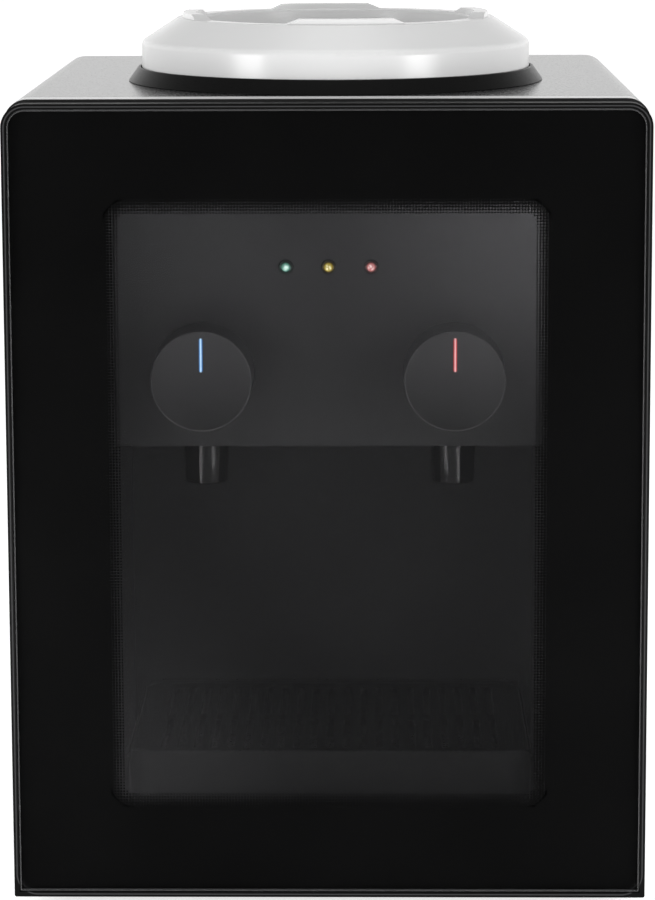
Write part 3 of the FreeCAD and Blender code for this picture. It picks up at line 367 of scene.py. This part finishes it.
def texturedBlack(name, s):
    f = Finish(name, specular=0.4)
    pits = f.cells(s["pit"])
    f.set(colour=f.mix(f.noise(*s["drift"]), *s["tones"]), rough=f.ramp(pits, *s["pitSpan"], *s["rough"]))
    f.bump(pits * s["pitShare"] + f.noise(*s["grain"]) * s["grainShare"], s["depth"])
    return f.material


metals = {  # two tones, the roughness, and the stretch of the brushed lines
    "stainless": (((0.58, 0.58, 0.58), (0.68, 0.68, 0.67)), (0.2, 0.36), (1, 1, 12)),
    "aluminium": (((0.70, 0.71, 0.72), (0.80, 0.81, 0.82)), (0.26, 0.42), (8, 1, 1)),
    "brass": (((0.78, 0.56, 0.26), (0.86, 0.66, 0.34)), (0.22, 0.4), (1, 8, 1)),
}
brushSetup = {
    "line": (0.0006, 3.0), "lineSpan": (0.25, 0.75), "depth": 0.00002,
    "stain": (0.02, 3.0), "stainSpan": (0.4, 0.8), "stainRough": (0.0, 0.08),
}


def brushedMetal(name, s):
    tones, rough, stretch = metals[name]
    f = Finish(name, metal=1.0)
    lines = f.noise(*s["line"], stretch)
    stains = f.noise(*s["stain"])
    f.set(colour=f.mix(stains, *tones))
    f.set(rough=f.ramp(lines, *s["lineSpan"], *rough) + f.ramp(stains, *s["stainSpan"], *s["stainRough"]))
    f.bump(lines, s["depth"])
    return f.material


zincSetup = {
    "flake": 1 / 160, "tones": ((0.52, 0.53, 0.55), (0.72, 0.73, 0.74)), "rough": (0.28, 0.46),
    "grain": (0.0009, 3.0), "depth": 0.00002,
}


def zincSteel(name, s):
    f = Finish(name, metal=1.0)
    tone = f.add("SeparateColor", {}, {0: f.cells(s["flake"], output="Color")})
    f.set(colour=f.mix(tone, *s["tones"]), rough=f.ramp(tone, 0.0, 1.0, *s["rough"]))
    f.bump(f.noise(*s["grain"]), s["depth"])
    return f.material


foamSetup = {
    "bead": 0.0032, "beadSpan": (0.0, 0.9), "tones": ((0.72, 0.72, 0.70), (0.50, 0.50, 0.48)),
    "pore": (0.0007, 3.0), "poreShare": 0.2, "rough": (0.8, 0.95), "depth": 0.0005,
}


def foam(name, s):
    f = Finish(name, specular=0.2)
    bead = f.cells(s["bead"])
    pores = f.noise(*s["pore"])
    # darker between the beads: painted shade in the creases
    f.set(colour=f.mix(f.ramp(bead, *s["beadSpan"]), *s["tones"]))
    f.set(rough=f.ramp(pores, *grainSpan, *s["rough"]))
    f.bump(1.0 - bead + pores * s["poreShare"], s["depth"])
    return f.material


lenses = {  # the colours of the rim, of the body, and of the painted glint
    "green_lens": ((0.004, 0.03, 0.02), (0.10, 0.30, 0.22), (0.75, 1.0, 0.9)),
    "yellow_lens": ((0.08, 0.045, 0.0), (0.42, 0.32, 0.03), (1.0, 0.95, 0.6)),
    "red_lens": ((0.06, 0.006, 0.006), (0.55, 0.17, 0.16), (1.0, 0.8, 0.78)),
}
lensSetup = {
    # glow makes the whole lens shine as painted light, and the facing range with the noise places the painted
    # glint
    "glow": 0.6, "body": (0.40, 0.72), "glintSpot": (0.78, 0.90),
    "glint": (0.0012, 1.0), "glintSpan": (0.42, 0.52),
    "facet": 0.0013, "facetSpan": (0.2, 0.8), "rough": (0.05, 0.2),
}


def lens(name, s):  # clear resin with a painted glint, glowing as painted light
    rim, body, glint = lenses[name]
    f = Finish(name, specular=0.6, ior=1.5, coat=0.8, coatRough=0.02)
    facing = f.absolute(f.facing("Y"))
    glintSpot = f.ramp(facing, *s["glintSpot"]) * f.ramp(f.noise(*s["glint"]), *s["glintSpan"])
    tone = f.mix(glintSpot, f.mix(f.ramp(facing, *s["body"]), rim, body), glint)
    f.set(colour=tone, glow=tone, glowPower=s["glow"])
    f.set(rough=f.ramp(f.cells(s["facet"]), *s["facetSpan"], *s["rough"]))
    return f.material


marks = {  # the colours of the bar's edges and of its middle
    "blue_mark": ((0.02, 0.20, 0.55), (0.62, 0.84, 1.0)),
    "red_mark": ((0.60, 0.02, 0.02), (0.95, 0.55, 0.55)),
}
markSetup = {
    # glow makes the bar shine as painted light
    "tapX": 0.060, "fray": (0.0005, 2.0), "frayWidth": 0.0002, "fade": (0.00035, 0.00055), "glow": 0.45,
    "grain": (0.0004, 2.0), "rough": (0.45, 0.6), "relief": (0.0003, 2.0), "depth": 0.00001,
}


def mark(name, s):  # paler down the middle of the bar, and glowing as painted light
    edge, middle = marks[name]
    f = Finish(name, specular=0.3)
    side = f.absolute(f.absolute(f.part(f.place(), "X")) - s["tapX"])
    tone = f.mix(f.ramp(side + f.noise(*s["fray"]) * s["frayWidth"], *s["fade"]), middle, edge)
    f.set(colour=tone, glow=tone, glowPower=s["glow"])
    f.set(rough=f.ramp(f.noise(*s["grain"]), *grainSpan, *s["rough"]))
    f.bump(f.noise(*s["relief"]), s["depth"])
    return f.material


boardSetup = {
    "field": 1 / 220, "trackSpan": (0.05, 0.09), "tones": ((0.05, 0.16, 0.07), (0.010, 0.060, 0.025)),
    "rough": (0.3, 0.42), "depth": 0.00004,
}


def circuitBoard(name, s):
    f = Finish(name, specular=0.5, coat=0.3, coatRough=0.1)
    fields = f.ramp(f.cells(s["field"], "DISTANCE_TO_EDGE"), *s["trackSpan"])
    f.set(colour=f.mix(fields, *s["tones"]), rough=f.ramp(fields, 0.0, 1.0, *s["rough"]))
    f.bump(1.0 - fields, s["depth"])
    return f.material


glassSetup = {
    "tint": (0.95, 0.95, 0.955), "gloss": 0.22, "ior": 1.3,
    "smear": (0.05, 3.0), "smearSpan": (0.35, 0.7), "smearShare": (0.0, 0.004),
    "groundSpan": (0.98, 0.9), "ground": 0.75, "edge": (0.11, 0.11, 0.112),
}


def tintedGlass(name, s):  # clear to lamps, so that the bay behind it is lit
    f = Finish(name, specular=0.5, ior=1.5, rough=0.12, colour=s["edge"])
    turn = f.ramp(f.absolute(f.facing("Y")), *s["groundSpan"])  # ground edges only
    gloss = f.add("Fresnel", {}, {"IOR": s["ior"]}) * s["gloss"]
    smear = f.ramp(f.noise(*s["smear"]), *s["smearSpan"], *s["smearShare"])
    f.clear(gloss + smear + turn * s["ground"], s["tint"])
    return f.material


filmSetup = {
    "tint": (0.80, 0.80, 0.80), "colour": (0.10, 0.10, 0.102), "haze": 0.062,
    "cloud": (0.03, 3.0), "cloudSpan": (0.2, 0.8), "cloudRange": (0.97, 1.03),
    # the centre, reach and strength of each denser patch, a painted pool of light
    "lightPools": (((0.110, -0.1466, 0.345), 0.13, 0.44), ((-0.060, -0.1466, 0.360), 0.13, 0.13),
              ((-0.125, -0.1466, 0.045), 0.14, 0.13)),
}


def smokeFilmPaintedLight(name, s):  # a grey film on the back of the clear window, denser in three patches that are painted pools of light
    f = Finish(name, specular=0.0, rough=0.7, colour=s["colour"])
    haze = f.ramp(f.noise(*s["cloud"]), *s["cloudSpan"], *s["cloudRange"]) * s["haze"]
    # the denser patches are painted pools of light
    for centre, reach, power in s["lightPools"]:
        far = f.add("VectorMath", {"operation": "DISTANCE"}, {0: f.place(), 1: centre}, "Value")
        haze = haze + f.ramp(far, reach, 0.0, 0.0, power, "SMOOTHSTEP")
    f.clear(haze, s["tint"])
    return f.material


makers = {
    "gloss_black": (glossBlack, glossSetup), "knob_black_painted_light": (knobBlackPaintedLight, knobSetup),
    "bezel_black_painted_sheen": (bezelBlackPaintedSheen, bezelSetup), "frame_black_painted_highlight": (frameBlackPaintedHighlight, frameSetup),
    "textured_black": (texturedBlack, texturedSetup), "zinc_steel": (zincSteel, zincSetup),
    "foam": (foam, foamSetup), "circuit_board": (circuitBoard, boardSetup),
    "tinted_glass": (tintedGlass, glassSetup), "smoke_film_painted_light": (smokeFilmPaintedLight, filmSetup),
    **{name: (brushedMetal, brushSetup) for name in metals},
    **{name: (lens, lensSetup) for name in lenses},
    **{name: (mark, markSetup) for name in marks},
}
finishes = {name: plainFinish(name) for name in plainFinishes}
finishes.update({name: maker(name, setup) for name, (maker, setup) in makers.items()})
print("materials ready")


def dress(thing, name):
    thing.data.materials.clear()
    thing.data.materials.append(finishes[name])


ownFinish = {  # pieces whose look differs from their slot's
    "cup_bay_liner": "bay_black", "drip_grille": "grille_black", "drip_tray": "tray_black",
    "knob_cold": "knob_black_painted_light", "knob_hot": "knob_black_painted_light", "housing_shell": "shell_black",
    "front_bezel": "bezel_black_painted_sheen", "top_ring": "ring_black", "door_frame": "frame_black_painted_highlight",
}
for part in frame["record"]["subparts"]:
    dress(nodes[part["node"]], ownFinish.get(part["node"], part["material_slot"]))


stageSetup = {
    "floorSize": 40.0, "floorColour": (0.95, 0.95, 0.95), "floorShade": 0.985, "floorDrift": (0.4, 2.0),
    "floorGlow": 0.62,
    "skySpan": (0.12, 0.5), "horizonPower": 1.22, "skyPower": 0.36,
}


def makeStage(setup):
    mesh = bpy.data.meshes.new("floor")
    reach = setup["floorSize"] / 2
    mesh.from_pydata([(-reach, -reach, 0), (reach, -reach, 0), (reach, reach, 0), (-reach, reach, 0)], [],
                     [(0, 1, 2, 3)])
    floor = bpy.data.objects.new("floor", mesh)
    scene.collection.objects.link(floor)
    f = Finish("pale_floor", rough=0.8, specular=0.1, glow=(1.0, 1.0, 1.0), glowPower=setup["floorGlow"])
    shade = [c * setup["floorShade"] for c in setup["floorColour"]]
    f.set(colour=f.mix(f.noise(*setup["floorDrift"]), setup["floorColour"], shade))
    mesh.materials.append(f.material)
    sky = bpy.data.worlds.new("sky")
    sky.use_nodes = True
    back = sky.node_tree.nodes["Background"]
    w = Shading(sky.node_tree)
    height = w.part(w.add("TexCoord", output="Generated"), "Z")
    w.feed(back.inputs["Color"], (1.0, 1.0, 1.0))
    power = w.ramp(height, *setup["skySpan"], setup["horizonPower"], setup["skyPower"])
    w.feed(back.inputs["Strength"], power)
    scene.world = sky


def makeLamp(name, place, aim, size, power):
    data = bpy.data.lights.new(name, "AREA")
    data.shape = "RECTANGLE"
    data.size, data.size_y = size
    data.energy = power
    lamp = bpy.data.objects.new(name, data)
    lamp.location = place
    lamp.rotation_mode = "QUATERNION"
    lamp.rotation_quaternion = (Vector(aim) - Vector(place)).to_track_quat("-Z", "Y")
    lamp.visible_camera = False
    scene.collection.objects.link(lamp)


lamps = (  # name, place, aim, size in metres, power in watts
    ("strip_left", (-0.73, -0.66, 0.35), (0.0, -0.05, 0.35), (0.30, 0.40), 3.4),
    ("strip_right", (0.73, -0.66, 0.35), (0.0, -0.05, 0.35), (0.30, 0.40), 3.4),
    ("low_left", (-0.29, -0.53, 0.065), (0.0, -0.05, 0.065), (0.18, 0.10), 0.65),
    ("low_right", (0.29, -0.53, 0.065), (0.0, -0.05, 0.065), (0.18, 0.10), 0.65),
    ("top_soft", (0.0, 0.1, 2.1), (0.0, -0.02, 0.4), (1.2, 0.9), 8.0),
)

makeStage(stageSetup)
for lamp in lamps:
    makeLamp(*lamp)
print("stage ready")


doorFace = -151.0              # millimetres


def depthToY(depth):  # millimetres behind the door's face, to metres in the frame
    return (depth + doorFace) * mm


def addPiece(name, mesh, body, finish, smooth=None):
    piece = bpy.data.objects.new(name, mesh)
    scene.collection.objects.link(piece)
    if smooth is not None:
        for face in mesh.polygons:
            face.use_smooth = True
        mesh.set_sharp_from_angle(angle=math.radians(smooth))
    mesh.materials.append(finishes[finish])
    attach(piece, body)
    return piece


def roundedRect(x0, x1, z0, z1, radius, steps=10):
    points = []
    corners = ((x1 - radius, z1 - radius, 0), (x0 + radius, z1 - radius, 90), (x0 + radius, z0 + radius, 180),
               (x1 - radius, z0 + radius, 270))
    for cx, cz, start in corners:
        for i in range(steps + 1):
            a = math.radians(start + 90 * i / steps)
            points.append((cx + radius * math.cos(a), cz + radius * math.sin(a)))
    return points


printSetup = {
    "depth": 4.2,              # just inside the back of the glass
    "halfWidth": 96.5, "low": 58.5, "high": 335.0,
    "outline": (-147.0, 147.0, 11.2, 383.9, 8.2),
    "pitch": 1.4,
    "firstRow": 0.9,           # from the clear edge to the middle of the smallest dots
    "corner": 4.5,
    "cover": (0.27, 0.48, 0.61, 0.80, 0.90),   # the share that each row's dots fill
    "boldCover": 0.75,         # above this, dots are squares with small cut corners
    "boldCut": 0.12, "fineCut": 0.29, "fineShare": 0.85,
    "skipInside": -0.35, "skipOutside": 0.05, "rowLimit": 1.001,
    "filmDepth": 4.36,
    "filmReach": 7.4,
}


def edgeDistance(x, z, setup):  # how far outside the clear window
    middle = (setup["low"] + setup["high"]) / 2
    dx = abs(x) - (setup["halfWidth"] - setup["corner"])
    dz = abs(z - middle) - ((setup["high"] - setup["low"]) / 2 - setup["corner"])
    if dx > 0 and dz > 0:
        return math.hypot(dx, dz) - setup["corner"]
    return max(dx, dz) - setup["corner"]


def makeDoorPrint(setup):
    rows = len(setup["cover"])
    pitch, first = setup["pitch"], setup["firstRow"]
    y = depthToY(setup["depth"])
    verts, faces = [], []
    reach = first + (rows - 0.5) * pitch
    inner = roundedRect(-setup["halfWidth"] - reach, setup["halfWidth"] + reach, setup["low"] - reach,
                        setup["high"] + reach, setup["corner"] + reach)
    x0, x1, z0, z1, radius = setup["outline"]
    outer = roundedRect(x0, x1, z0, z1, radius)
    count = len(inner)
    for ring in (outer, inner):
        verts += [(x * mm, y, z * mm) for x, z in ring]
    for i in range(count):
        j = (i + 1) % count
        faces.append((i, j, count + j, count + i))
    spanX = setup["halfWidth"] + first
    countX = round(2 * spanX / pitch)
    stepX = 2 * spanX / countX
    spanZ = setup["high"] - setup["low"] + 2 * first
    countZ = round(spanZ / pitch)
    stepZ = spanZ / countZ
    for i in range(-rows, countX + rows + 1):
        for j in range(-rows, countZ + rows + 1):
            x = -spanX + i * stepX
            z = setup["low"] - first + j * stepZ
            place = (edgeDistance(x, z, setup) - first) / pitch
            if place < setup["skipInside"] or place > rows - setup["skipOutside"]:
                continue
            row = min(max(place, 0.0), rows - setup["rowLimit"])
            low = int(row)
            cover = setup["cover"][low] + (row - low) * (setup["cover"][low + 1] - setup["cover"][low])
            if cover > setup["boldCover"]:
                width, cut = math.sqrt(cover) * pitch, setup["boldCut"]
            else:
                width, cut = math.sqrt(cover / setup["fineShare"]) * pitch, setup["fineCut"]
            h, c = width / 2, width * (0.5 - cut)
            start = len(verts)
            for px, pz in ((h, -c), (h, c), (c, h), (-c, h), (-h, c), (-h, -c), (-c, -h), (c, -h)):
                verts.append(((x + px) * mm, y, (z + pz) * mm))
            faces.append(tuple(range(start, start + 8)))
    mesh = bpy.data.meshes.new("door_print")
    mesh.from_pydata(verts, [], faces)
    mesh.flip_normals()
    addPiece("door_print", mesh, "door", "print_ink")


def makeWindowFilm(setup):
    reach = setup["halfWidth"] + setup["filmReach"]
    low, high = setup["low"] - setup["filmReach"], setup["high"] + setup["filmReach"]
    ring = roundedRect(-reach, reach, low, high, setup["corner"])
    y = depthToY(setup["filmDepth"])
    mesh = bpy.data.meshes.new("window_film")
    mesh.from_pydata([(x * mm, y, z * mm) for x, z in ring], [], [tuple(range(len(ring)))])
    addPiece("window_film", mesh, "door", "smoke_film_painted_light")


makeDoorPrint(printSetup)
makeWindowFilm(printSetup)
print("door print ready")


nozzleSetup = {
    "depth": 65.0, "bore": 4.0, "tipRadius": 10.4, "radius": 11.0, "neck": 6.5,
    "tip": 197.2, "shoulder": 217.45, "top": 228.0,
    "lip": 0.8, "lipSteps": 6, "sides": 96, "tapX": 0.060, "smooth": 30,
}


def makeNozzle(name, node, x, setup):  # a smooth turned tube with a rounded lip
    tip, lip = setup["tip"], setup["lip"]
    profile = [(setup["bore"], tip)]
    for i in range(setup["lipSteps"] + 1):
        a = math.radians(90 * i / setup["lipSteps"])
        profile.append((setup["tipRadius"] - lip + lip * math.sin(a), tip + lip - lip * math.cos(a)))
    profile += [(setup["radius"], setup["shoulder"]), (setup["neck"], setup["shoulder"]),
                (setup["neck"], setup["top"]), (setup["bore"], setup["top"])]
    y = depthToY(setup["depth"])
    sides, count = setup["sides"], len(profile)
    verts, faces = [], []
    for i in range(sides):
        a = 2 * math.pi * i / sides
        verts += [(x + r * mm * math.cos(a), y + r * mm * math.sin(a), z * mm) for r, z in profile]
        following = (i + 1) % sides
        for j in range(count):
            k = (j + 1) % count
            faces.append((i * count + j, following * count + j, following * count + k, i * count + k))
    mesh = bpy.data.meshes.new(name)
    mesh.from_pydata(verts, [], faces)
    work = bmesh.new()
    work.from_mesh(mesh)
    bmesh.ops.recalc_face_normals(work, faces=work.faces)
    work.to_mesh(mesh)
    work.free()
    piece = addPiece(name, mesh, "cabinet", "nozzle_black", setup["smooth"])
    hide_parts(node)


makeNozzle("nozzle_cold_tube", "nozzle_cold", -nozzleSetup["tapX"], nozzleSetup)
makeNozzle("nozzle_hot_tube", "nozzle_hot", nozzleSetup["tapX"], nozzleSetup)
print("nozzles ready")
